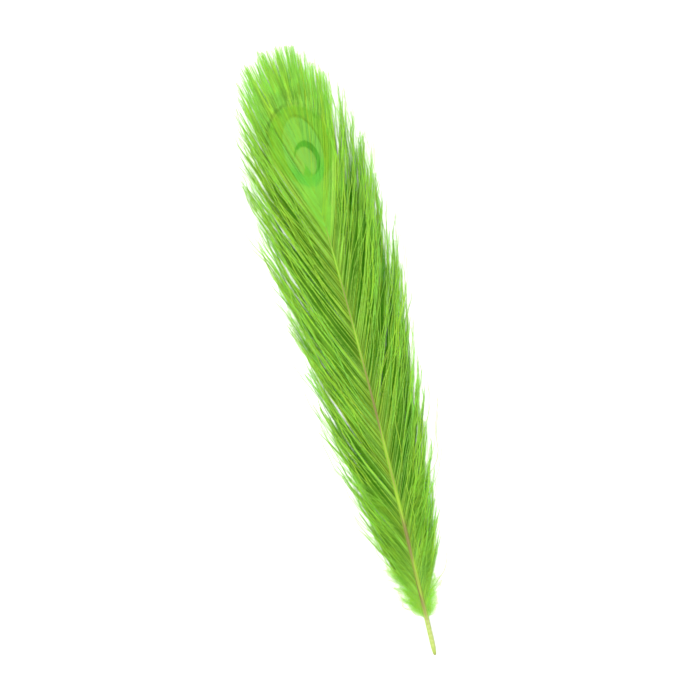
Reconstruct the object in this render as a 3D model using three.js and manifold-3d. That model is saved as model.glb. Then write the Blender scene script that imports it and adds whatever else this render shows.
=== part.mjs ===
// One peacock eye feather, bleached and dyed lime green, lying face up on a flat surface.
// It grew as one piece, so it is one solid: the quill with its shaft, and the layer that the barbs fill on both
// sides of it, out to their tips and down to the surface. The single barbs are finer than this solid goes.
//
// Frame: +Y from the quill's tip towards the fringe, +Z up, origin at the middle of the underside.

import * as THREE from "three";
import { mergeVertices } from "three/addons/utils/BufferGeometryUtils.js";
import Module from "manifold-3d";

// Driving dimensions, in millimetres. A station s is a distance along the feather from the quill's tip.
const LENGTH = 335; // quill tip to the longest barb of the fringe
const VANE_START = 22; // the quill is bare up to here
const SHAFT_END = 286; // the shaft runs out inside the eye
const VANE_WIDTH = 43; // scale of the vane's half width, whose widest place is 35
const LEFT_SHARE = 1.03; // the two sides of a vane are never quite alike
const RIGHT_SHARE = 0.97;
const SWEEP = 12; // how far the shaft bends to the left on its way to the tip
const CAMBER = 5; // how high the shaft arches off the surface
const QUILL_RADIUS = 1.3; // at its thickest
const QUILL_TIP_LENGTH = 9; // the blunt cone that sat in the skin
const SHAFT_RADIUS = 0.35; // where the shaft runs out
const EDGE_THICKNESS = 1.2; // barbs lying flat at the vane's edge
const BARB_COVER = 0.4; // barbs rise this far above the surface to the shaft's middle

// How finely the solid is faceted.
const ROWS_ALONG_VANE = 44;
const COLUMNS_ACROSS_VANE = 10;
const RINGS_ALONG_QUILL = 36;
const SIDES_OF_QUILL = 12;

const LIME = 0x87d044;

/** Sideways place of the shaft's middle at station s: straight at the quill, bending left towards the tip. */
function shaftX(s) {
  return -SWEEP * (s / LENGTH) ** 2.2;
}

/** Radius of the quill and shaft: a blunt tip, the thickest place just above it, then a long taper. */
function shaftRadius(s) {
  const tip = Math.min(1, s / QUILL_TIP_LENGTH);
  const taper = (1 - s / SHAFT_END) ** 0.8;
  const rounded = 0.35 + 0.65 * Math.sqrt(tip * (2 - tip));
  return rounded * (SHAFT_RADIUS + (QUILL_RADIUS - SHAFT_RADIUS) * taper);
}

/** Height of the shaft's middle above the surface: the quill's tip touches, the rest arches over the barbs. */
function shaftZ(s) {
  const radius = shaftRadius(Math.min(s, SHAFT_END));
  return radius + CAMBER * Math.sin((Math.PI * s) / (1.12 * LENGTH));
}

/** Half width of the vane without its left and right shares: narrow at the quill, widest at the eye, round on top. */
function halfWidth(s) {
  const t = (s - VANE_START) / (LENGTH - VANE_START);
  return VANE_WIDTH * t ** 0.45 * (1 - t ** 8) ** 0.55;
}

/** The vane: a subdivided box whose rows become cross-sections, flat beneath and arched over the shaft. */
function vaneGeometry() {
  const box = new THREE.BoxGeometry(2, 1, 1, COLUMNS_ACROSS_VANE, ROWS_ALONG_VANE, 1);
  const place = box.attributes.position;
  const firstStation = VANE_START + 1;
  const lastStation = LENGTH;
  for (let i = 0; i < place.count; i++) {
    const across = place.getX(i);
    const along = place.getY(i) + 0.5;
    // Rows crowd together towards both round ends.
    const eased = (1 - Math.cos(Math.PI * along)) / 2;
    const s = firstStation + (lastStation - firstStation) * (0.35 * along + 0.65 * eased);
    const share = across < 0 ? LEFT_SHARE : RIGHT_SHARE;
    const half = Math.max(1, halfWidth(s) * share);
    const crown = Math.max(EDGE_THICKNESS, shaftZ(s) + BARB_COVER);
    const arch = (1 - Math.abs(across)) ** 1.3;
    const top = EDGE_THICKNESS + (crown - EDGE_THICKNESS) * arch;
    place.setXYZ(i, shaftX(s) + across * half, s, place.getZ(i) < 0 ? 0 : top);
  }
  return box;
}

/** The quill and shaft: a turned taper along +Y, bent to the shaft's own line. */
function quillGeometry() {
  const profile = [new THREE.Vector2(0, 0)];
  for (let ring = 0; ring <= RINGS_ALONG_QUILL; ring++) {
    const s = SHAFT_END * (ring / RINGS_ALONG_QUILL) ** 1.4;
    profile.push(new THREE.Vector2(shaftRadius(s), s));
  }
  profile.push(new THREE.Vector2(0, SHAFT_END));
  const lathe = new THREE.LatheGeometry(profile, SIDES_OF_QUILL);
  const place = lathe.attributes.position;
  for (let i = 0; i < place.count; i++) {
    const s = place.getY(i);
    place.setXYZ(i, place.getX(i) + shaftX(s), s, place.getZ(i) + shaftZ(s));
  }
  return lathe;
}

const wasm = await Module();
wasm.setup();

/** A closed three.js geometry as a manifold-3d solid. */
function solidOf(geometry) {
  const bare = geometry.clone();
  bare.deleteAttribute("normal");
  bare.deleteAttribute("uv");
  const merged = mergeVertices(bare, 1e-4);
  const mesh = new wasm.Mesh({
    numProp: 3,
    vertProperties: merged.attributes.position.array,
    triVerts: new Uint32Array(merged.index.array),
  });
  return new wasm.Manifold(mesh);
}

/** A manifold-3d solid as a three.js geometry. */
function geometryOf(solid) {
  const mesh = solid.getMesh();
  const geometry = new THREE.BufferGeometry();
  geometry.setAttribute("position", new THREE.BufferAttribute(mesh.vertProperties, 3));
  geometry.setIndex(new THREE.BufferAttribute(mesh.triVerts, 1));
  geometry.computeVertexNormals();
  return geometry;
}

const joined = geometryOf(solidOf(vaneGeometry()).add(solidOf(quillGeometry())));
const dyed = new THREE.MeshStandardMaterial({ color: LIME, roughness: 0.7, metalness: 0 });
const feather = new THREE.Mesh(joined, dyed);
feather.name = "feather";

// The origin goes to the middle of the underside.
const box = new THREE.Box3().setFromObject(feather);
const middle = box.getCenter(new THREE.Vector3());
feather.position.set(-middle.x, -middle.y, -box.min.z);

const part = new THREE.Group();
part.add(feather);

export default part;
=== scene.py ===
# A peacock eye feather, bleached and dyed lime green, lying face up: every barb and barbule as mesh.
#
# Shapes are worked out in millimetres in the feather's own coordinates: a station s runs along the feather
# from the quill's tip towards the fringe, an offset x runs across it from the shaft's line, and z is the
# height above the surface. Along a barb, t runs from 0 at its root to 1 at the tip it has if unbroken.
# Meshes are written in metres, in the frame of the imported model.

import math
from collections.abc import Callable
from dataclasses import dataclass

import bpy
import numpy as np
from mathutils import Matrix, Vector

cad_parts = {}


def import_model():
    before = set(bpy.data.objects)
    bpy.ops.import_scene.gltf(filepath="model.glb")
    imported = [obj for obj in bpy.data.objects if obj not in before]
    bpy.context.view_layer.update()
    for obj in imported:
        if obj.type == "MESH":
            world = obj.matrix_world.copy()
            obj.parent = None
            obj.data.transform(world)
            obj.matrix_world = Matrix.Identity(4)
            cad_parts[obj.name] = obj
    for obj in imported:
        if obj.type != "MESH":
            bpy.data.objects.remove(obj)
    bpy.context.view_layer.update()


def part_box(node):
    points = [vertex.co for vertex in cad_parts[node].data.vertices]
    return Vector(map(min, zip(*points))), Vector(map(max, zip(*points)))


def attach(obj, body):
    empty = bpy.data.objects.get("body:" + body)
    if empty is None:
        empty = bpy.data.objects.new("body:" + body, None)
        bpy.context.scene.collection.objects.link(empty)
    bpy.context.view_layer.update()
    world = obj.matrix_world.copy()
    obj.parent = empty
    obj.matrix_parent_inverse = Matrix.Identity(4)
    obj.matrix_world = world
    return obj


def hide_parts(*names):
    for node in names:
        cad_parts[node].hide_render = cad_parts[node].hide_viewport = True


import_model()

# ---------------------------------------------------------------------------------- lines of the feather

LOW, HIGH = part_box("feather")
MM = 1000.0  # millimetres in a metre
LENGTH = (HIGH.y - LOW.y) * MM
VANE_START = 22.0  # the quill is bare up to here
SHAFT_END = 286.0  # the shaft runs out inside the eye
VANE_WIDTH = 43.0  # scale of the vane's half width
LEFT_SHARE = 1.03  # the two sides of a vane are never quite alike
RIGHT_SHARE = 0.97
SWEEP = 12.0  # how far the shaft bends to the left on its way to the fringe
CAMBER = 5.0  # how high the shaft arches off the surface
QUILL_RADIUS = 1.3  # at its thickest
QUILL_TIP_LENGTH = 9.0  # of the blunt cone that sat in the skin
SHAFT_RADIUS = 0.35  # where the shaft runs out

EYE_START = 226.0  # from here up the barbs hold together
EYE_CENTRE = 272.0
EYE_HALF_WIDTH = 19.0
EYE_HALF_LENGTH = 31.0
LOCKED_SPREAD = 0.31  # half width of the locked wedge below the eye, for each millimetre from its point
LOWEST = 0.02  # nothing sinks into the surface
EDGE_HEIGHT = 0.5  # of a barb's middle above the surface at the vane's edge


def smooth(value, start, end):
    """0 before start, 1 after end and an even ease between."""
    t = np.clip((value - start) / (end - start), 0, 1)
    return t * t * (3 - 2 * t)


def shaft_x(s):
    """Sideways place of the shaft's middle: straight at the quill, bending left towards the fringe."""
    return -SWEEP * (np.maximum(s, 0) / LENGTH) ** 2.2


def shaft_radius(s):
    """Radius of the solid's shaft: a blunt tip, the thickest place just above it, then a long taper."""
    tip = np.clip(s / QUILL_TIP_LENGTH, 0, 1)
    taper = np.clip(1 - s / SHAFT_END, 0, 1) ** 0.8
    rounded = 0.35 + 0.65 * np.sqrt(tip * (2 - tip))
    return rounded * (SHAFT_RADIUS + (QUILL_RADIUS - SHAFT_RADIUS) * taper)


def horn_radius(s):
    """Radius of the visible shaft, which is slimmer than the solid's, above all towards the eye."""
    return shaft_radius(s) * (1 - 0.22 * smooth(s, 40, 180) - 0.33 * smooth(s, 180, SHAFT_END))


def shaft_z(s):
    """Height of the shaft's middle: the quill's tip touches the surface, the rest arches over it."""
    return shaft_radius(s) + CAMBER * np.sin(np.pi * s / (1.12 * LENGTH))


def half_width(s):
    """Half width of the vane without its left and right shares."""
    t = np.clip((s - VANE_START) / (LENGTH - VANE_START), 0, 1)
    return VANE_WIDTH * t**0.45 * (1 - t**8) ** 0.55


def share_of(side):
    return RIGHT_SHARE if side > 0 else LEFT_SHARE


STATIONS = np.linspace(VANE_START, LENGTH, 2000)
X_SHIFT = HIGH.x * MM - np.max(shaft_x(STATIONS) + RIGHT_SHARE * half_width(STATIONS))
Y_SHIFT = LOW.y * MM


def placed(x, s, z):
    """Points in the model's frame, still in millimetres, from offset, station and height."""
    return np.stack([shaft_x(s) + x + X_SHIFT, s + Y_SHIFT, z], axis=-1)


# ------------------------------------------------------------------------------------- courses of barbs

FIRST_BARB = 25.0  # station of the lowest course's root
FIRST_TIP = 66.0  # and of its tip
TIP_CROWDING = 1.8  # power that draws the tips closer together towards the fringe
BARB_BOW = math.radians(6)  # a barb leaves this much wider than its straight way, and ends as much steeper
BARB_REACH = 0.36  # of the curve's two handles, as a share of the straight way
FIRST_DOWN = 20.5
LAST_DOWN = 84.0
DOWN_LENGTH = 14.0  # of the lowest downy barb
DOWN_GROWTH = 0.32  # of the downy barbs' length, for each millimetre further up
DOWN_LEAVES = math.radians(62)  # from the shaft's direction, at the root
DOWN_ENDS = math.radians(20)  # and at the tip


def barb_line(root, t):
    """Offset and station of the undisturbed barb from a root station, at fraction t of its length."""
    share = np.clip((root - FIRST_BARB) / (SHAFT_END - FIRST_BARB), 0, 1)
    tip_s = LENGTH - (LENGTH - FIRST_TIP) * (1 - share) ** TIP_CROWDING
    tip_x = half_width(tip_s)
    chord = np.hypot(tip_x, tip_s - root)
    lean = np.arctan2(tip_x, tip_s - root)
    bow = np.minimum(BARB_BOW, lean / 2)
    reach = BARB_REACH * chord
    x1 = reach * np.sin(lean + bow)
    s1 = root + reach * np.cos(lean + bow)
    x2 = tip_x - reach * np.sin(lean - bow)
    s2 = tip_s - reach * np.cos(lean - bow)
    u = 1 - t
    x = 3 * u * u * t * x1 + 3 * u * t * t * x2 + t**3 * tip_x
    s = u**3 * root + 3 * u * u * t * s1 + 3 * u * t * t * s2 + t**3 * tip_s
    return x, s


def down_line(root, t):
    """Offset and station of a downy barb beside the quill: it leaves at a wide angle and curls upward."""
    length = DOWN_LENGTH + DOWN_GROWTH * (root - FIRST_DOWN)
    turn = DOWN_ENDS - DOWN_LEAVES
    angle = DOWN_LEAVES + turn * t
    x = length / turn * (math.cos(DOWN_LEAVES) - np.cos(angle))
    s = root + length / turn * (np.sin(angle) - math.sin(DOWN_LEAVES))
    return x, s


def rest_height(x, s):
    """Height of the barbs' layer: at the shaft's middle on the shaft, near the surface at the vane's edge."""
    across = np.clip(x / np.maximum(half_width(s), 6), 0, 1)
    return EDGE_HEIGHT + (shaft_z(s) - EDGE_HEIGHT) * (1 - across) ** 1.3


def eye_cover(x, s):
    """1 where barbules lock the barbs into one surface, 0 where the barbs are loose."""
    oval = np.hypot(x / EYE_HALF_WIDTH, (s - EYE_CENTRE) / EYE_HALF_LENGTH)
    wedge_half = np.maximum(LOCKED_SPREAD * (s - EYE_START + 6), 0.5)
    wedge = 1 - smooth(np.abs(x) / wedge_half, 0.75, 1.1)
    under_oval = 1 - smooth(s, EYE_CENTRE - 8, EYE_CENTRE + 6)
    below = wedge * under_oval * smooth(s, EYE_START - 14, EYE_START + 4)
    return np.maximum(1 - smooth(oval, 0.85, 1.08), below)


# ---------------------------------------------------------------------------------------- combing barbs

SAMPLES = 64  # points along each barb
USUAL_LENGTH = (0.99, 0.02)  # mean and spread of the barbs' length shares
EYE_EDGE_PLAY = 0.05  # how unevenly, barb by barb, the eye's edge is reached, as a share
UPPER_SHARE = 0.43  # of the barbs
UPPER_CLING = (0.8, 1.1)  # range of how fully an upper barb takes its tuft's hold
UNDER_CLING = (0.0, 0.2)
UPPER_SHADE = (0.68, 1.0)  # range of an upper barb's shade, where 0 is dark and 1 is light
UNDER_FLUFF = 2.7  # the lower barbs' barbules lie spread out, and so reach further than the upper ones'
UNDER_PLAY = 0.4  # how far their lower ends leave their course, as a share of the upper ones' play
BARE = 0.4  # fluff of the stray barbs, which have lost most of their barbules
MOST_BEND = 7.0  # of a barb's tip from its course, so that the outline stays near the solid's
SMALL_WAVE = 0.1  # size of a second, finer waviness
SMALL_WAVE_LENGTHS = (5, 11)
LIFT_WAVE = 0.25  # unevenness in height along a barb, as a share of its style's lift
LIFT_WAVE_LENGTHS = (15, 50)
STRAY_RISE = (0.5, 2.2)  # of a stray barb's middle over the others
LEAST_HEIGHT = 0.25  # of a barb's middle above the surface
LIFT_OVER_SHAFT = 0.12  # of the eye's barbs over the top of the shaft they hide
EYE_DEPTH = 0.12  # the eye's barbs differ by this much in height
EYE_SLANT = 0.14  # radians that each of the eye's barbs tilts, to lie over the next one
TWIST = 0.35  # spread of the radians that a loose barb is turned about itself
TWIST_WAVE = 0.3  # radians that it turns to and fro along its way
TWIST_WAVE_LENGTHS = (20, 60)
SPLIT_ROOT = 249.5  # the eye's left half has come apart at the barb that grows here
SPLIT_WIDTH = 1.0
SPLIT_FADE = 1.6  # distance between roots over which the parting falls to about a third


@dataclass
class Style:
    """How one kind of barb grows and behaves. Lengths are in millimetres at a barb's tip."""

    line: Callable  # its undisturbed course, from its root and t
    stem: Callable  # half width and rise of its stem, from the Barbs' along and closed
    barbule: Callable  # length and width of its barbules, from the same two
    root_gaps: tuple  # from one barb to the next, at the first and at the last root
    barbule_gap: float  # from one barbule to the next on the same side of a barb
    tuft_gap: tuple  # range of root stations whose barbs join one tuft
    tuft_hold: tuple  # range of how much of the way to its tuft's middle a barb goes
    tuft_start: tuple  # range of t over which a tuft takes hold
    tuft_end: float  # share of its hold that is left at the tips
    tuft_lean: float  # how far whole tufts lean sideways
    tuft_cut: float  # how much shorter than the longest a tuft may be, as a share
    wave: float  # sideways waviness
    wave_lengths: tuple
    own_lean: float  # how far a barb leaves its tuft
    lift: float  # unevenness in height
    stray_share: float  # share of the barbs that bend away
    stray_bend: float  # how far they bend
    stray_swing: float  # how far their middle swings across the others
    broken_share: float
    shortest: float  # of a broken barb, as a share of its length
    under: tuple  # range of the lower barbs' shade, darker as painted shade beneath the upper ones
    fluff: tuple  # range of how long a barb's barbules are, as a share
    rows_by_shade: bool  # whether barbs of like shade lie side by side in the UV map


@dataclass
class Course:
    """What the steps of combing share: a row for each barb and a column for each of its samples."""

    t: np.ndarray
    distance: np.ndarray  # from the root
    closed: np.ndarray  # 1 where the eye's barbules lock the barbs together
    free: np.ndarray  # how far a barb can leave its line: not at its root and not in the eye


@dataclass
class Barbs:
    """Combed barbs: a row for each barb and, down to closed, a column for each of its samples."""

    points: np.ndarray  # in the model's frame, in millimetres
    tangent: np.ndarray
    across: np.ndarray
    up: np.ndarray
    along: np.ndarray  # from 0 at the root to 1 at the barb's own tip
    flat: np.ndarray  # offset, station and dye, which the material reads
    closed: np.ndarray
    length: np.ndarray
    shade: np.ndarray
    row: np.ndarray  # its place in the UV map
    fluff: np.ndarray


def waves(rng, distance, shortest, longest):
    """Smooth noise of about unit size along each barb."""
    count = len(distance)
    total = np.zeros_like(distance)
    for weight in (1.0, 0.7, 0.45):
        length = rng.uniform(shortest, longest, (count, 1))
        phase = rng.uniform(0, 2 * math.pi, (count, 1))
        total += weight * np.sin(2 * math.pi * distance / length + phase)
    return total / 1.3


def tufts(roots, style, rng):
    """For each barb: its tuft's middle root, hold, lean and length share."""
    edges = [roots.min() - rng.uniform(0, style.tuft_gap[1])]
    while edges[-1] < roots.max():
        edges.append(edges[-1] + rng.uniform(*style.tuft_gap))
    edges = np.array(edges)
    cell = np.searchsorted(edges, roots) - 1
    middle = (edges[cell] + edges[cell + 1]) / 2
    hold = rng.uniform(*style.tuft_hold, len(edges))[cell]
    lean = rng.normal(0, style.tuft_lean, len(edges))[cell]
    full = 1 - style.tuft_cut * rng.random(len(edges))[cell] ** 2
    return middle, hold, lean, full


def worn(full, style, rng):
    """The barbs' length shares after wear: none quite like its neighbour, and some broken."""
    full = full * rng.normal(*USUAL_LENGTH, len(full)).clip(0.9, 1)
    broken = rng.random(len(full)) < style.broken_share
    full[broken] *= rng.uniform(style.shortest, 0.95, broken.sum())
    return full


def sideways_play(course, upper, lean, style, rng):
    """How far each barb lies to the side of its line, and which barbs stray across the others."""
    count = len(upper)
    t, free = course.t, course.free
    play = style.wave * free * t * waves(rng, course.distance, *style.wave_lengths)
    play += SMALL_WAVE * free * waves(rng, course.distance, *SMALL_WAVE_LENGTHS)
    # A barb that the eye holds on its way can't stray far, or it would turn sharply at the eye's edge.
    stray = rng.random(count) < style.stray_share
    held = course.closed.max(axis=1)
    stray_bend = rng.normal(0, style.stray_bend, count) * (1 - 0.7 * held)
    bend = np.where(stray, stray_bend, rng.normal(0, style.own_lean, count))
    play += (bend + lean).clip(-MOST_BEND, MOST_BEND)[:, None] * free * t**2
    swing = np.where(stray, rng.normal(0, style.stray_swing, count) * (1 - held), 0)
    play += swing[:, None] * free * np.sin(math.pi * t)
    play *= np.where((upper | stray)[:, None], 1, UNDER_PLAY + (1 - UNDER_PLAY) * t**2)
    return play, stray


def split(roots, s):
    """Sideways parting of the barbs on both sides of the split in the eye, as large as it is wide."""
    away = roots[:, None] - SPLIT_ROOT
    near = np.exp(-np.abs(away) / SPLIT_FADE)
    opened = smooth(s, 258, 268) * (1 - smooth(s, 290, 310))
    return -np.sign(away) * SPLIT_WIDTH / 2 * near * opened


def pushed(x, s, play):
    """Each line after its points have moved to its side by their play."""
    ds = np.gradient(s, axis=1)
    dx = np.gradient(x, axis=1)
    size = np.hypot(ds, dx) + 1e-9
    return x + play * ds / size, s - play * dx / size


def heights(course, x, s, over_shaft, shade, stray, style, rng):
    """Height of each barb's middle: light strands over dark ones, and the stray barbs over both."""
    t, free = course.t, course.free
    count = len(shade)
    z = rest_height(np.abs(x), s)
    z += (0.5 + 0.5 * over_shaft) * horn_radius(np.minimum(s, SHAFT_END)) * (1 - smooth(t, 0, 0.5))
    z += over_shaft * LIFT_OVER_SHAFT
    layer = 0.7 * shade[:, None] + 0.3 * rng.random((count, 1))
    uneven = layer + LIFT_WAVE * waves(rng, course.distance, *LIFT_WAVE_LENGTHS)
    z += style.lift * smooth(t, 0.05, 0.6) * free * uneven
    z += np.where(stray, rng.uniform(*STRAY_RISE, count), 0)[:, None] * free * np.sin(math.pi * t)
    z += EYE_DEPTH * layer * course.closed
    return np.maximum(z, LEAST_HEIGHT)


def frames(points, roll):
    """Unit vectors along each barb, across it and up out of it, the last two turned by its roll."""
    tangent = np.gradient(points, axis=1)
    tangent /= np.linalg.norm(tangent, axis=2, keepdims=True)
    across = np.cross(tangent, [0, 0, 1.0])
    across /= np.linalg.norm(across, axis=2, keepdims=True)
    up = np.cross(across, tangent)
    cos = np.cos(roll)[..., None]
    sin = np.sin(roll)[..., None]
    return tangent, across * cos + up * sin, up * cos - across * sin


def comb(side, roots, rng, style):
    """The barbs of one side from these roots."""
    count = len(roots)
    middle, hold, lean, full = tufts(roots, style, rng)
    along = np.broadcast_to(np.linspace(0, 1, SAMPLES), (count, SAMPLES))
    t = along * worn(full, style, rng)[:, None]
    flat_x, flat_s = style.line(roots[:, None], t)
    distance = np.hypot(flat_x, flat_s - roots[:, None])
    slip = rng.normal(1, EYE_EDGE_PLAY, (count, 1))
    closed = eye_cover(flat_x * slip, EYE_CENTRE + (flat_s - EYE_CENTRE) * slip)
    course = Course(t, distance, closed, free=(1 - closed) * smooth(t, 0, 0.6))

    # The upper barbs cling together in light strands, and the lower ones lie spread out beneath, darker as
    # painted shade.
    upper = rng.random(count) < UPPER_SHARE
    cling = hold * np.where(upper, rng.uniform(*UPPER_CLING, count), rng.uniform(*UNDER_CLING, count))
    let_go = 1 + (style.tuft_end - 1) * smooth(t, 0.5, 1)
    share = cling[:, None] * smooth(t, *style.tuft_start) * let_go
    pulled = roots[:, None] + (middle - roots)[:, None] * share
    x, s = style.line(pulled.clip(roots.min(), roots.max()), t)

    play, stray = sideways_play(course, upper, lean, style, rng)
    if side < 0 and roots.max() > SPLIT_ROOT:
        play += split(roots, flat_s)
    x, s = pushed(x, s, play)
    over_shaft = smooth(roots, EYE_START, EYE_START + 16)[:, None]
    beside_shaft = horn_radius(roots)[:, None] * 0.72 * (1 - over_shaft) - 0.25 * over_shaft
    x += beside_shaft * (1 - t) ** 6

    # The lower barbs' darker range is painted shade; within each range the shade differs at random.
    shade = np.where(upper | stray, rng.uniform(*UPPER_SHADE, count), rng.uniform(*style.under, count))
    z = heights(course, x, s, over_shaft, shade, stray, style, rng)
    points = placed(side * share_of(side) * x, s, z)
    twist = rng.normal(0, TWIST, (count, 1)) + TWIST_WAVE * waves(rng, distance, *TWIST_WAVE_LENGTHS)
    tangent, across, up = frames(points, side * EYE_SLANT * closed + course.free * twist)
    dye = np.broadcast_to(rng.random((count, 1)), (count, SAMPLES))
    fluff = rng.uniform(*style.fluff, count) * np.where(upper, 1, UNDER_FLUFF)
    return Barbs(
        points=points,
        tangent=tangent,
        across=across,
        up=up,
        along=along,
        flat=np.stack([side * flat_x, flat_s, dye], axis=-1),
        closed=closed,
        length=np.linalg.norm(np.diff(points, axis=1), axis=2).sum(axis=1),
        shade=shade,
        row=np.argsort(np.argsort(shade)) if style.rows_by_shade else np.arange(count),
        fluff=np.where(stray, BARE, fluff),
    )


# --------------------------------------------------------------------------------------- mesh of strands

STEM_CORNERS = ((-1.0, -0.5), (0.0, 1.0), (1.0, -0.5))  # across in half widths, and up in rises
BARBULE_ROOT = 0.35  # where a barbule's colour starts, between the stem's own and a barbule's tip
BARBULE_LENGTHS = (0.75, 1.2)  # range, as a share
BARBULE_ANGLE = (38, 6)  # degrees to the barb, mean and spread
BARBULE_LIFT = 0.22  # radians out of the barb's own plane
BARBULE_DROOP = 0.08
# How far a barb's parts reach from the middle of its row in the UV map, in rows.
STEM_BAND = 0.14
BARBULE_BAND = (0.15, 0.46)
LEAST_HALF_U = 0.0005  # of a barbule, so that it covers some of the map


class Soup:
    """Vertices and faces of one piece, with the places that its material and its bake read."""

    def __init__(self):
        self.points, self.flat, self.strand, self.uv, self.faces = [], [], [], [], []
        self.count = 0

    def add(self, points, flat, strand, uv, faces):
        """points, flat and strand hold three numbers a vertex, uv holds two, and faces has a row a face."""
        self.points.append(points.reshape(-1, 3))
        self.flat.append(flat.reshape(-1, 3))
        self.strand.append(strand.reshape(-1, 3))
        self.uv.append(uv.reshape(-1, 2))
        self.faces.append(faces + self.count)
        self.count += len(self.points[-1])


def stem_blades(soup, barbs, half, rise):
    """Each barb's own stem, a three-sided blade. half is half its width, given with rise at every sample."""
    count, samples = barbs.along.shape
    edges = []
    for across, up in STEM_CORNERS:
        sideways = barbs.across * (across * half)[..., None]
        edges.append(barbs.points + sideways + barbs.up * (up * rise)[..., None])
    points = np.stack(edges, axis=2)  # barb, sample, corner, xyz
    flat = np.repeat(barbs.flat[:, :, None, :], 3, axis=2)
    for corner, (across, _) in enumerate(STEM_CORNERS):
        flat[:, :, corner, 0] += across * half
    strand = np.zeros((count, samples, 3, 3))
    strand[..., 0] = barbs.shade[:, None, None]
    strand[..., 1] = barbs.along[:, :, None]
    uv = np.zeros((count, samples, 3, 2))
    uv[..., 0] = barbs.along[:, :, None]
    uv[..., 1] = (barbs.row[:, None, None] + 0.5 + STEM_BAND * np.array([-1, 0, 1])) / count
    index = np.arange(count * samples * 3).reshape(count, samples, 3)
    quads = []
    for corner in range(3):
        edge, after = index[:, :, corner], index[:, :, (corner + 1) % 3]
        sides = np.stack([edge[:, :-1], edge[:, 1:], after[:, 1:], after[:, :-1]], axis=-1)
        quads.append(sides.reshape(-1, 4))
    soup.add(points, flat, strand, uv, np.concatenate(quads))


def barbules(soup, barbs, rng, spacing, shape_of):
    """Barbules on both sides of each barb, one slim triangle each. shape_of gives their length and width."""
    count = len(barbs.length)
    each = np.maximum(4, (barbs.length / spacing).astype(int))
    barb = np.repeat(np.arange(count), each)
    order = np.arange(each.sum()) - np.repeat(np.cumsum(each) - each, each)
    place = (order + rng.uniform(0.2, 0.8, len(order))) / each[barb] * (SAMPLES - 1)
    low = np.minimum(place.astype(int), SAMPLES - 2)
    part = (place - low)[:, None]

    def at(values):
        """The barbs' values at the barbules' roots, which lie between samples."""
        a, b = values[barb, low], values[barb, low + 1]
        weight = part if values.ndim == 3 else part[:, 0]
        return a + (b - a) * weight

    point, tangent, across, up = (at(v) for v in (barbs.points, barbs.tangent, barbs.across, barbs.up))
    flat, along, closed = at(barbs.flat), at(barbs.along), at(barbs.closed)
    # Towards a barb's tip no barbule is longer than usual, and in the eye they are all alike.
    fluff = barbs.fluff[barb] - np.maximum(barbs.fluff[barb] - 1, 0) * along**2
    fluff = closed + (1 - closed) * fluff
    usual_length, usual_width = shape_of(along, closed)
    width = usual_width * fluff**0.6
    half_u = np.maximum(width / barbs.length[barb] / 2, LEAST_HALF_U)
    base = tangent * (width / 2)[:, None]
    rows = (barbs.row[barb] + 0.5) / count
    for side in (-1, 1):
        length = usual_length * fluff * rng.uniform(*BARBULE_LENGTHS, len(rows))
        angle = np.radians(rng.normal(*BARBULE_ANGLE, len(rows)))
        lift = rng.normal(0, BARBULE_LIFT, len(rows)) * (1 - 0.75 * closed) - BARBULE_DROOP
        way = (
            np.cos(angle)[:, None] * tangent
            + (side * np.sin(angle) * np.cos(lift))[:, None] * across
            + (np.sin(angle) * np.sin(lift))[:, None] * up
        )
        tip = point + way * length[:, None]
        points = np.stack([point - base, point + base, tip], axis=1)
        flats = np.repeat(flat[:, None, :], 3, axis=1)
        flats[:, 2, 0] += side * np.sin(angle) * length
        flats[:, 2, 1] += np.cos(angle) * length
        strand = np.zeros((len(rows), 3, 3))
        strand[..., 0] = barbs.shade[barb][:, None]
        strand[..., 1] = along[:, None]
        strand[:, :2, 2] = BARBULE_ROOT
        strand[:, 2, 2] = 1.0
        inner, outer = (rows + side * band / count for band in BARBULE_BAND)
        u = np.stack([along - half_u, along + half_u, along], axis=1)
        v = np.stack([inner, inner, outer], axis=1)
        faces = np.arange(len(rows) * 3).reshape(-1, 3)
        if side < 0:
            faces = faces[:, ::-1]
        soup.add(points, flats, strand, np.stack([u, v], axis=2), faces)


def piece_from(soup, name, material):
    """A mesh object in metres from the soup, riding on the feather's body in place of its plain solid."""
    points = np.concatenate(soup.points)
    points[:, 2] = np.maximum(points[:, 2], LOWEST)
    points /= MM
    loops = np.concatenate([faces.ravel() for faces in soup.faces])
    totals = np.concatenate([np.full(len(faces), faces.shape[1]) for faces in soup.faces])
    starts = np.cumsum(totals) - totals
    mesh = bpy.data.meshes.new(name)
    mesh.vertices.add(len(points))
    mesh.vertices.foreach_set("co", points.astype(np.float32).ravel())
    mesh.loops.add(len(loops))
    mesh.loops.foreach_set("vertex_index", loops.astype(np.int32))
    mesh.polygons.add(len(totals))
    mesh.polygons.foreach_set("loop_start", starts.astype(np.int32))
    mesh.polygons.foreach_set("use_smooth", np.full(len(totals), True))
    for label, values in (("flat", soup.flat), ("strand", soup.strand)):
        layer = mesh.attributes.new(label, "FLOAT_VECTOR", "POINT")
        layer.data.foreach_set("vector", np.concatenate(values).astype(np.float32).ravel())
    uv = mesh.uv_layers.new(name="OFBake")
    uv.uv.foreach_set("vector", np.concatenate(soup.uv)[loops].astype(np.float32).ravel())
    mesh.update(calc_edges=True)
    mesh.validate()
    mesh.materials.append(material)
    piece = bpy.data.objects.new(name, mesh)
    bpy.context.scene.collection.objects.link(piece)
    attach(piece, "root")
    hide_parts("feather")
    print(name, "triangles", int((totals - 2).sum()))


# --------------------------------------------------------------------------------------------- materials


def linear(red, green, blue):
    """A colour given in 0-255 screen values, as the linear colour a shader takes."""

    def one(value):
        value /= 255
        return value / 12.92 if value <= 0.04045 else ((value + 0.055) / 1.055) ** 2.4

    return (one(red), one(green), one(blue), 1.0)


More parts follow.
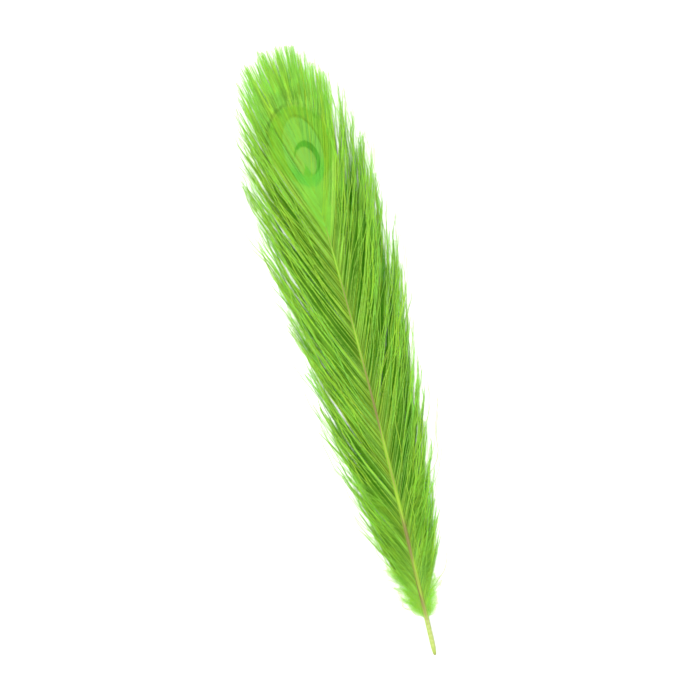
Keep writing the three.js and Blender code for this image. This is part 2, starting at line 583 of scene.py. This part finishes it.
class Nodes:
    """Short calls for building one material's node tree. A value is a socket to link, or a plain value."""

    def __init__(self, material):
        material.use_nodes = True
        self.tree = material.node_tree
        self.tree.nodes.clear()

    def new(self, kind, **settings):
        node = self.tree.nodes.new(kind)
        for key, value in settings.items():
            setattr(node, key, value)
        return node

    def link(self, source, target):
        self.tree.links.new(source, target)

    def feed(self, socket, value):
        if isinstance(value, bpy.types.NodeSocket):
            self.link(value, socket)
        else:
            socket.default_value = value

    def math(self, operation, *values):
        node = self.new("ShaderNodeMath", operation=operation)
        for socket, value in zip(node.inputs, values):
            self.feed(socket, value)
        return node.outputs[0]

    def product(self, first, *others):
        for value in others:
            first = self.math("MULTIPLY", first, value)
        return first

    def ease(self, value, start, end, low=0.0, high=1.0):
        """low before start, high after end and smooth between."""
        node = self.new("ShaderNodeMapRange", interpolation_type="SMOOTHSTEP")
        for socket, given in zip(node.inputs, (value, start, end, low, high)):
            self.feed(socket, given)
        return node.outputs[0]

    def fade(self, value, start, end):
        """1 before start, 0 after end and smooth between."""
        return self.ease(value, start, end, 1.0, 0.0)

    def mix(self, share, under, over, blend="MIX"):
        node = self.new("ShaderNodeMix", data_type="RGBA", blend_type=blend)
        # Of the node's many sockets, these are the share and the two colours.
        for number, value in ((0, share), (6, under), (7, over)):
            self.feed(node.inputs[number], value)
        return node.outputs[2]

    def attribute(self, name):
        """The three parts of a mesh attribute."""
        node = self.new("ShaderNodeAttribute", attribute_name=name, attribute_type="GEOMETRY")
        parts = self.new("ShaderNodeSeparateXYZ")
        self.link(node.outputs["Vector"], parts.inputs[0])
        return parts.outputs

    def noise(self, scale, detail=2.0, stretch=(1, 1, 1)):
        """Noise over the flat feather, in millimetres."""
        flat = self.new("ShaderNodeAttribute", attribute_name="flat")
        mapping = self.new("ShaderNodeMapping")
        mapping.inputs["Scale"].default_value = stretch
        self.link(flat.outputs["Vector"], mapping.inputs["Vector"])
        node = self.new("ShaderNodeTexNoise")
        node.inputs["Scale"].default_value = scale
        node.inputs["Detail"].default_value = detail
        self.link(mapping.outputs[0], node.inputs["Vector"])
        return node.outputs["Fac"]

    def oval(self, x, s, centre, radii):
        """Distance from an oval's centre in units of its radii: 1 on its outline."""
        across = self.math("DIVIDE", self.math("SUBTRACT", x, centre[0]), radii[0])
        along = self.math("DIVIDE", self.math("SUBTRACT", s, centre[1]), radii[1])
        squares = self.math("ADD", self.product(across, across), self.product(along, along))
        return self.math("SQRT", squares)


# The dim and dark colours go to the lower strands as painted shade.
STEM_DIM = linear(84, 150, 13)
STEM_LIGHT = linear(218, 255, 116)
BARBULE_DARK = linear(59, 130, 3)
BARBULE_LIGHT = linear(200, 255, 90)
BARB_PALE = linear(202, 248, 116)
ROOT_TINGE = linear(164, 184, 66)
RING_LIME = linear(160, 222, 62)
RING_DARK = linear(116, 166, 38)
DISC_LIME = linear(172, 232, 97)
MINT = linear(140, 229, 83)
CRESCENT = linear(114, 202, 56)
NOTCH = linear(136, 220, 74)
HEART = linear(176, 229, 98)
WEDGE_LIME = linear(176, 236, 90)
GLOW = linear(190, 250, 96)  # what thin barbs let through
GREENER = (0.8, 1.0, 1.2, 1.0)
YELLOWER = (1.12, 1.0, 0.75, 1.0)
WORN_DYE = (0.6, 0.6, 0.6, 1.0)
FULL_DYE = (1.0, 1.0, 1.0, 1.0)
LET_THROUGH = 0.55  # share of the light that goes through a barb

DOWN_FADE = (24, 70)  # stations over which the pale down gives way to full colour
FRINGE_FADE = (280, 302)  # and over which the fringe turns paler

# The eye's ovals: their centres, as offset and station, and their radii across and along.
RING = ((0.0, 279.0), (17.2, 22.5))
DISC = ((0.0, 275.0), (10.3, 20.0))
CRESCENT_OUTLINE = ((1.0, 271.6), (6.6, 9.5))
HEART_OUTLINE = ((-0.3, 269.8), (5.8, 8.4))
# Stations between which a mark comes in, or goes out, towards the fringe.
RING_FOOT = (252, 268)
RING_ARC_FOOT = (278, 291)
DISC_EDGE_FOOT = (268, 284)
MINT_FOOT = (252, 260)
MINT_TOP = (264, 274)
WEDGE_TOP = (258, 272)
WEDGE_SPREAD = 0.33  # half width of the lime wedge below the disc, for each millimetre from its point
NOTCH_X = -1.2
NOTCH_TOP = 268.6
NOTCH_SPREAD = 0.42
BARB_SLIP = 1.1  # millimetres that the barbs slip along each other, so no outline is quite smooth


def strand_colour(n, s, strand, along, barbule):
    """The barbs' colours without the eye: strand by strand, the lower ones in painted shade, and in patches
    that the dye took differently.
    """
    patch = n.noise(0.05, 3.0)
    # A strand's shade is painted shade on the lower strands; the patches are the dye's.
    tone = n.math("ADD", n.product(strand, 0.85), n.product(patch, 0.25))
    level = n.ease(tone, 0.2, 0.9)
    stem = n.mix(level, STEM_DIM, STEM_LIGHT)
    barbule_colour = n.mix(level, BARBULE_DARK, BARBULE_LIGHT)
    # A barb's stem is lighter than its barbules, a painted highlight over their painted shade, and both fade
    # towards their ends.
    colour = n.mix(n.ease(barbule, 0.0, 0.4), stem, barbule_colour)
    colour = n.mix(n.ease(along, 0.45, 1.0, 0.0, 0.6), colour, BARB_PALE)
    colour = n.mix(n.ease(along, 0.0, 0.1, 0.35, 0.0), colour, ROOT_TINGE)
    colour = n.mix(n.ease(s, *DOWN_FADE, 0.6, 0.0), colour, BARB_PALE)
    return n.mix(n.ease(s, *FRINGE_FADE, 0.0, 0.35), colour, BARB_PALE)


def eye_over(n, colour, x, s, strand):
    """The eye's marks over a colour: wedge, ring with its dark arc, disc, crescent and notched heart."""
    s = n.math("ADD", s, n.product(n.math("SUBTRACT", strand, 0.5), BARB_SLIP))
    ring = n.oval(x, s, *RING)
    disc = n.oval(x, s, *DISC)
    crescent = n.oval(x, s, *CRESCENT_OUTLINE)
    heart = n.oval(x, s, *HEART_OUTLINE)

    wedge_half = n.math("MAXIMUM", n.product(n.math("SUBTRACT", s, EYE_START), WEDGE_SPREAD), 0.4)
    wedge = n.math("DIVIDE", n.math("ABSOLUTE", x), wedge_half)
    in_wedge = n.product(n.fade(wedge, 0.8, 1.05), n.fade(s, *WEDGE_TOP))
    colour = n.mix(n.product(in_wedge, 0.85), colour, WEDGE_LIME)

    in_ring = n.product(n.fade(ring, 0.9, 1.0), n.ease(s, *RING_FOOT))
    colour = n.mix(n.product(in_ring, 0.8), colour, RING_LIME)
    arc = n.product(n.ease(ring, 0.93, 0.99), n.fade(ring, 1.0, 1.07), n.ease(s, *RING_ARC_FOOT))
    colour = n.mix(n.product(arc, n.ease(x, -8, 5, 0.5, 0.1)), colour, RING_DARK)

    in_disc = n.fade(disc, 0.93, 1.0)
    colour = n.mix(n.product(in_disc, 0.9), colour, DISC_LIME)
    edge = n.product(n.ease(disc, 0.93, 0.99), n.fade(disc, 1.01, 1.07), n.ease(s, *DISC_EDGE_FOOT))
    colour = n.mix(n.product(edge, n.ease(x, -6, 8, 0.12, 0.45)), colour, RING_DARK)
    low_disc = n.product(in_disc, n.fade(s, *MINT_TOP), n.ease(s, *MINT_FOOT))
    colour = n.mix(n.product(low_disc, 0.85), colour, MINT)

    colour = n.mix(n.product(n.fade(crescent, 0.95, 1.04), 0.9), colour, CRESCENT)
    in_heart = n.fade(heart, 0.88, 1.03)
    colour = n.mix(in_heart, colour, HEART)
    # The notch that makes it a heart opens towards the quill.
    notch_half = n.product(n.math("SUBTRACT", NOTCH_TOP, s), NOTCH_SPREAD)
    into_notch = n.math("SUBTRACT", notch_half, n.math("ABSOLUTE", n.math("SUBTRACT", x, NOTCH_X)))
    in_notch = n.product(n.ease(into_notch, -0.3, 0.5), n.product(in_heart, 0.9))
    return n.mix(in_notch, colour, NOTCH)


def barb_material():
    """Dyed barbs: light strands over darker ones in painted shade, paler fine ends, and the eye where the
    barbs lock together.
    """
    material = bpy.data.materials.new("dyed_barbs")
    n = Nodes(material)
    x, s, dye = n.attribute("flat")
    strand, along, barbule = n.attribute("strand")
    colour = strand_colour(n, s, strand, along, barbule)
    colour = eye_over(n, colour, x, s, strand)
    # Each barb took the dye a little differently, and not evenly along its length.
    uneven = n.ease(n.noise(1.0, 2.0, (0.0, 0.12, 40.0)), 0.3, 0.7)
    colour = n.mix(0.5, colour, n.mix(uneven, WORN_DYE, FULL_DYE), "MULTIPLY")
    colour = n.mix(1.0, colour, n.mix(dye, GREENER, YELLOWER), "MULTIPLY")

    shader = n.new("ShaderNodeBsdfPrincipled")
    n.link(colour, shader.inputs["Base Color"])
    shader.inputs["Roughness"].default_value = 0.6
    shader.inputs["Specular IOR Level"].default_value = 0.05
    glow = n.new("ShaderNodeBsdfTranslucent")
    n.link(n.mix(0.4, colour, GLOW), glow.inputs["Color"])
    both = n.new("ShaderNodeMixShader")
    both.inputs[0].default_value = LET_THROUGH
    n.link(shader.outputs[0], both.inputs[1])
    n.link(glow.outputs[0], both.inputs[2])
    out = n.new("ShaderNodeOutputMaterial")
    n.link(both.outputs[0], out.inputs["Surface"])
    return material


QUILL_LIME = linear(142, 185, 32)
QUILL_TINGE = linear(118, 103, 54)
QUILL_END = linear(172, 190, 96)
QUILL_TIP = linear(132, 128, 66)
PULP = linear(212, 216, 158)
PULP_GAP = 2.6  # from one cap of dried pulp to the next


def quill_material():
    """The shaft: smooth horn, yellowish lime with a brown tinge and fine lengthwise streaks."""
    material = bpy.data.materials.new("dyed_quill")
    n = Nodes(material)
    _, s, _ = n.attribute("flat")
    streak = n.noise(1.0, 3.0, (3.0, 0.03, 1.0))
    stretch = n.noise(1.0, 2.0, (0.3, 0.025, 1.0))
    tinge = n.math("ADD", n.product(streak, 0.3), n.product(stretch, 0.7))
    colour = n.mix(n.ease(tinge, 0.42, 0.6, 0.0, 0.9), QUILL_LIME, QUILL_TINGE)
    colour = n.mix(n.ease(s, 8, 34, 0.7, 0.0), colour, QUILL_END)
    # The dried pulp shows through the hollow quill as pale caps.
    slip = n.noise(1.0, 2.0, (0.8, 0.5, 0.8))
    turn = n.math("FRACT", n.math("ADD", n.math("DIVIDE", s, PULP_GAP), slip))
    cap = n.product(n.ease(turn, 0.0, 0.8), n.fade(turn, 0.85, 1.0))
    hollow = n.product(n.ease(s, 3, 6), n.fade(s, 17, 24))
    colour = n.mix(n.product(cap, hollow, 0.25), colour, PULP)
    colour = n.mix(n.ease(s, 0.0, 2.5, 0.6, 0.0), colour, QUILL_TIP)

    shader = n.new("ShaderNodeBsdfPrincipled")
    n.link(colour, shader.inputs["Base Color"])
    n.link(n.ease(streak, 0.3, 0.7, 0.32, 0.45), shader.inputs["Roughness"])
    bump = n.new("ShaderNodeBump")
    bump.inputs["Strength"].default_value = 0.2
    bump.inputs["Distance"].default_value = 0.0001
    n.link(streak, bump.inputs["Height"])
    n.link(bump.outputs[0], shader.inputs["Normal"])
    out = n.new("ShaderNodeOutputMaterial")
    n.link(shader.outputs[0], out.inputs["Surface"])
    return material


# ---------------------------------------------------------------------------------------- kinds of barbs


def loose_stem(along, closed):
    half = 0.04 + 0.15 * (1 - along) ** 0.6
    return half, half * 1.3


def loose_barbule(along, closed):
    length = (0.4 + 0.6 * smooth(along, 0, 0.3)) * (1 - 0.7 * along**4)
    return length, np.full_like(along, 0.25)


def down_stem(along, closed):
    half = 0.02 + 0.05 * (1 - along)
    return half, half


def down_barbule(along, closed):
    return 2.2 * (1 - 0.5 * along**2), np.full_like(along, 0.08)


def eye_stem(along, closed):
    """The eye's stems widen until they meet, where they are locked together."""
    half = 0.03 + 0.14 * (1 - along) ** 0.6 + 0.36 * closed * smooth(along, 0, 0.25)
    return half, np.minimum(half, 0.12)


def eye_barbule(along, closed):
    return 1.2 * (1 - 0.75 * along**4), 0.24 + 0.03 * closed


LOOSE = Style(
    line=barb_line,
    stem=loose_stem,
    barbule=loose_barbule,
    root_gaps=(0.76, 0.68),
    barbule_gap=0.25,
    tuft_gap=(3.0, 7.0),
    tuft_hold=(0.65, 1.0),
    tuft_start=(0.0, 0.45),
    tuft_end=0.45,
    tuft_lean=1.8,
    tuft_cut=0.16,
    wave=1.0,
    wave_lengths=(18, 60),
    own_lean=2.3,
    lift=1.6,
    stray_share=0.16,
    stray_bend=10.0,
    stray_swing=6.0,
    broken_share=0.2,
    shortest=0.45,
    under=(0.05, 0.5),
    fluff=(0.5, 1.1),
    rows_by_shade=True,
)
DOWN = Style(
    line=down_line,
    stem=down_stem,
    barbule=down_barbule,
    root_gaps=(0.42, 0.9),
    barbule_gap=0.3,
    tuft_gap=(2, 5),
    tuft_hold=(0.0, 0.5),
    tuft_start=(0.2, 1.0),
    tuft_end=1.0,
    tuft_lean=2.0,
    tuft_cut=0.3,
    wave=2.4,
    wave_lengths=(7, 20),
    own_lean=2.0,
    lift=2.0,
    stray_share=0.2,
    stray_bend=4.0,
    stray_swing=2.0,
    broken_share=0.3,
    shortest=0.4,
    under=(0.3, 0.6),
    fluff=(0.6, 1.1),
    rows_by_shade=True,
)
EYE = Style(
    line=barb_line,
    stem=eye_stem,
    barbule=eye_barbule,
    root_gaps=(0.68, 0.56),
    barbule_gap=0.16,
    tuft_gap=(2.5, 8.0),
    tuft_hold=(0.0, 0.55),
    tuft_start=(0.6, 1.1),
    tuft_end=1.0,
    tuft_lean=0.9,
    tuft_cut=0.06,
    wave=0.5,
    wave_lengths=(18, 60),
    own_lean=0.9,
    lift=1.0,
    stray_share=0.06,
    stray_bend=5.0,
    stray_swing=0.0,
    broken_share=0.3,
    shortest=0.85,
    under=(0.25, 0.55),
    fluff=(0.5, 1.1),
    rows_by_shade=False,
)

# ------------------------------------------------------------------------------------------------ pieces

MID_VANE = 130.0  # the loose barbs' mesh is in two pieces a side, which meet here

# Each stretch of a side: its piece's name, its kind of barb, its first and last root, and a seed.
STRETCHES = (
    ("loose_barbs_lower", LOOSE, FIRST_BARB + 1, MID_VANE, 11),
    ("loose_barbs_upper", LOOSE, MID_VANE, EYE_START, 21),
    ("eye_barbs", EYE, EYE_START, SHAFT_END - 1, 41),
    ("down", DOWN, FIRST_DOWN, LAST_DOWN, 71),
)


def roots_between(start, end, first_gap, last_gap, rng):
    """Root stations whose gaps change evenly from the first to the last, each a little off its place."""
    roots = [start]
    while roots[-1] < end:
        share = (roots[-1] - start) / (end - start)
        roots.append(roots[-1] + first_gap + (last_gap - first_gap) * share)
    roots = np.array(roots[:-1])
    return roots + rng.uniform(-0.25, 0.25, len(roots)) * min(first_gap, last_gap)


def grow(side, start, end, style, name, material, rng):
    """One piece: the barbs of one kind that grow between two stations of a side, and their barbules."""
    roots = roots_between(start, end, *style.root_gaps, rng)
    barbs = comb(side, roots, rng, style)
    soup = Soup()
    stem_blades(soup, barbs, *style.stem(barbs.along, barbs.closed))
    barbules(soup, barbs, rng, style.barbule_gap, style.barbule)
    piece_from(soup, name, material)


SHAFT_SIDES = 24
SHAFT_RINGS = 260
GROOVE_DEPTH = 0.28  # of the groove along the shaft's underside, as a share of its radius
GROOVE_WIDTH = 0.35  # in radians
SQUARENESS = 0.06  # how far the shaft's outline leaves a circle, as a share of its radius
# The small pit in the quill's tip, from its floor to its rim: station, and share of the tip's radius.
PIT = ((1.6, 0.3), (0.9, 0.42), (0.3, 0.5), (0.05, 0.62), (-0.05, 0.8), (-0.02, 0.93))


def shaft(material):
    """Quill and shaft as one tapering rod: round at the quill, then flat-sided with a groove beneath."""
    outside = SHAFT_END * np.linspace(0, 1, SHAFT_RINGS - len(PIT)) ** 1.25
    pit_s, pit_share = np.array(PIT).T
    ring_s = np.concatenate([pit_s, outside])
    share = np.concatenate([pit_share, np.ones_like(outside)])[:, None]
    outer_s = np.concatenate([0 * pit_s, outside])[:, None]
    angle = np.linspace(0, 2 * math.pi, SHAFT_SIDES, endpoint=False)
    s = ring_s[:, None] + 0 * angle
    radius = horn_radius(outer_s) * share + 0 * angle
    from_below = (angle + math.pi / 2 + math.pi) % (2 * math.pi) - math.pi
    groove = np.exp(-((from_below / GROOVE_WIDTH) ** 2))
    groove = groove[None, :] * GROOVE_DEPTH * smooth(s, 24, 50)
    square = 1 + SQUARENESS * np.cos(4 * angle)[None, :] * smooth(s, 24, 60)
    x = radius * np.cos(angle) * square
    z = shaft_z(outer_s) + radius * np.sin(angle) * square * (1 - groove)
    strand = np.zeros((SHAFT_RINGS, SHAFT_SIDES, 3))
    strand[..., 1] = s / LENGTH
    uv = np.stack([s / SHAFT_END, np.broadcast_to(angle / (2 * math.pi), s.shape)], axis=-1)
    index = np.arange(SHAFT_RINGS * SHAFT_SIDES).reshape(SHAFT_RINGS, SHAFT_SIDES)
    after = np.roll(index, -1, axis=1)
    quads = np.stack([index[:-1], after[:-1], after[1:], index[1:]], axis=-1).reshape(-1, 4)
    soup = Soup()
    soup.add(placed(x, s, z), np.stack([x, s, z], axis=-1), strand, uv, quads)
    soup.faces.append(index[0][::-1][None, :])
    soup.faces.append(index[-1][None, :])
    piece_from(soup, "shaft", material)


barb_look = barb_material()
shaft(quill_material())
for label, side in (("left", -1), ("right", 1)):
    for name, style, start, end, seed in STRETCHES:
        grow(side, start, end, style, f"{name}_{label}", barb_look, np.random.default_rng(seed + side))


# --------------------------------------------------------------------------------- floor, light and camera

FLOOR_HALF = 20.0
FLOOR_GREY = (0.9, 0.9, 0.9, 1.0)
LEAN = math.radians(13)  # of the feather to the left of the picture's upright
FILL = 0.88  # of the picture's height that the feather takes
LENS = 100.0
SENSOR = 36.0
WORLD_LIGHT = 0.8


def floor():
    mesh = bpy.data.meshes.new("floor")
    corners = [(x * FLOOR_HALF, y * FLOOR_HALF, 0) for x, y in ((-1, -1), (1, -1), (1, 1), (-1, 1))]
    mesh.from_pydata(corners, [], [(0, 1, 2, 3)])
    obj = bpy.data.objects.new("floor", mesh)
    bpy.context.scene.collection.objects.link(obj)
    material = bpy.data.materials.new("floor")
    material.use_nodes = True
    shader = material.node_tree.nodes["Principled BSDF"]
    shader.inputs["Base Color"].default_value = FLOOR_GREY
    shader.inputs["Roughness"].default_value = 0.9
    mesh.materials.append(material)


def light(name, place, softness, strength):
    """A soft, even light from far away, from the side where place is. Its softness is in degrees."""
    data = bpy.data.lights.new(name, "SUN")
    data.angle = math.radians(softness)
    data.energy = strength
    obj = bpy.data.objects.new(name, data)
    obj.location = place
    obj.rotation_euler = (-obj.location).to_track_quat("-Z", "Y").to_euler()
    bpy.context.scene.collection.objects.link(obj)


def world():
    """Even white light from all sides."""
    data = bpy.data.worlds.new("world")
    data.use_nodes = True
    background = data.node_tree.nodes["Background"]
    background.inputs["Color"].default_value = (1, 1, 1, 1)
    background.inputs["Strength"].default_value = WORLD_LIGHT
    bpy.context.scene.world = data


def camera():
    """It looks straight down on the feather, from where the feather fills its share of the picture."""
    data = bpy.data.cameras.new("camera")
    data.lens = LENS
    data.sensor_width = SENSOR
    seen = LENGTH / MM * math.cos(LEAN) / FILL
    obj = bpy.data.objects.new("camera", data)
    obj.location = (0, 0, seen * LENS / SENSOR)
    obj.rotation_euler = (0, 0, -LEAN)
    bpy.context.scene.collection.objects.link(obj)
    bpy.context.scene.camera = obj


floor()
light("key", (-0.25, 0.3, 1.2), 15, 2.5)
light("fill", (0.7, -0.3, 1.0), 60, 0.6)
world()
bpy.context.scene.view_settings.view_transform = "Standard"
camera()
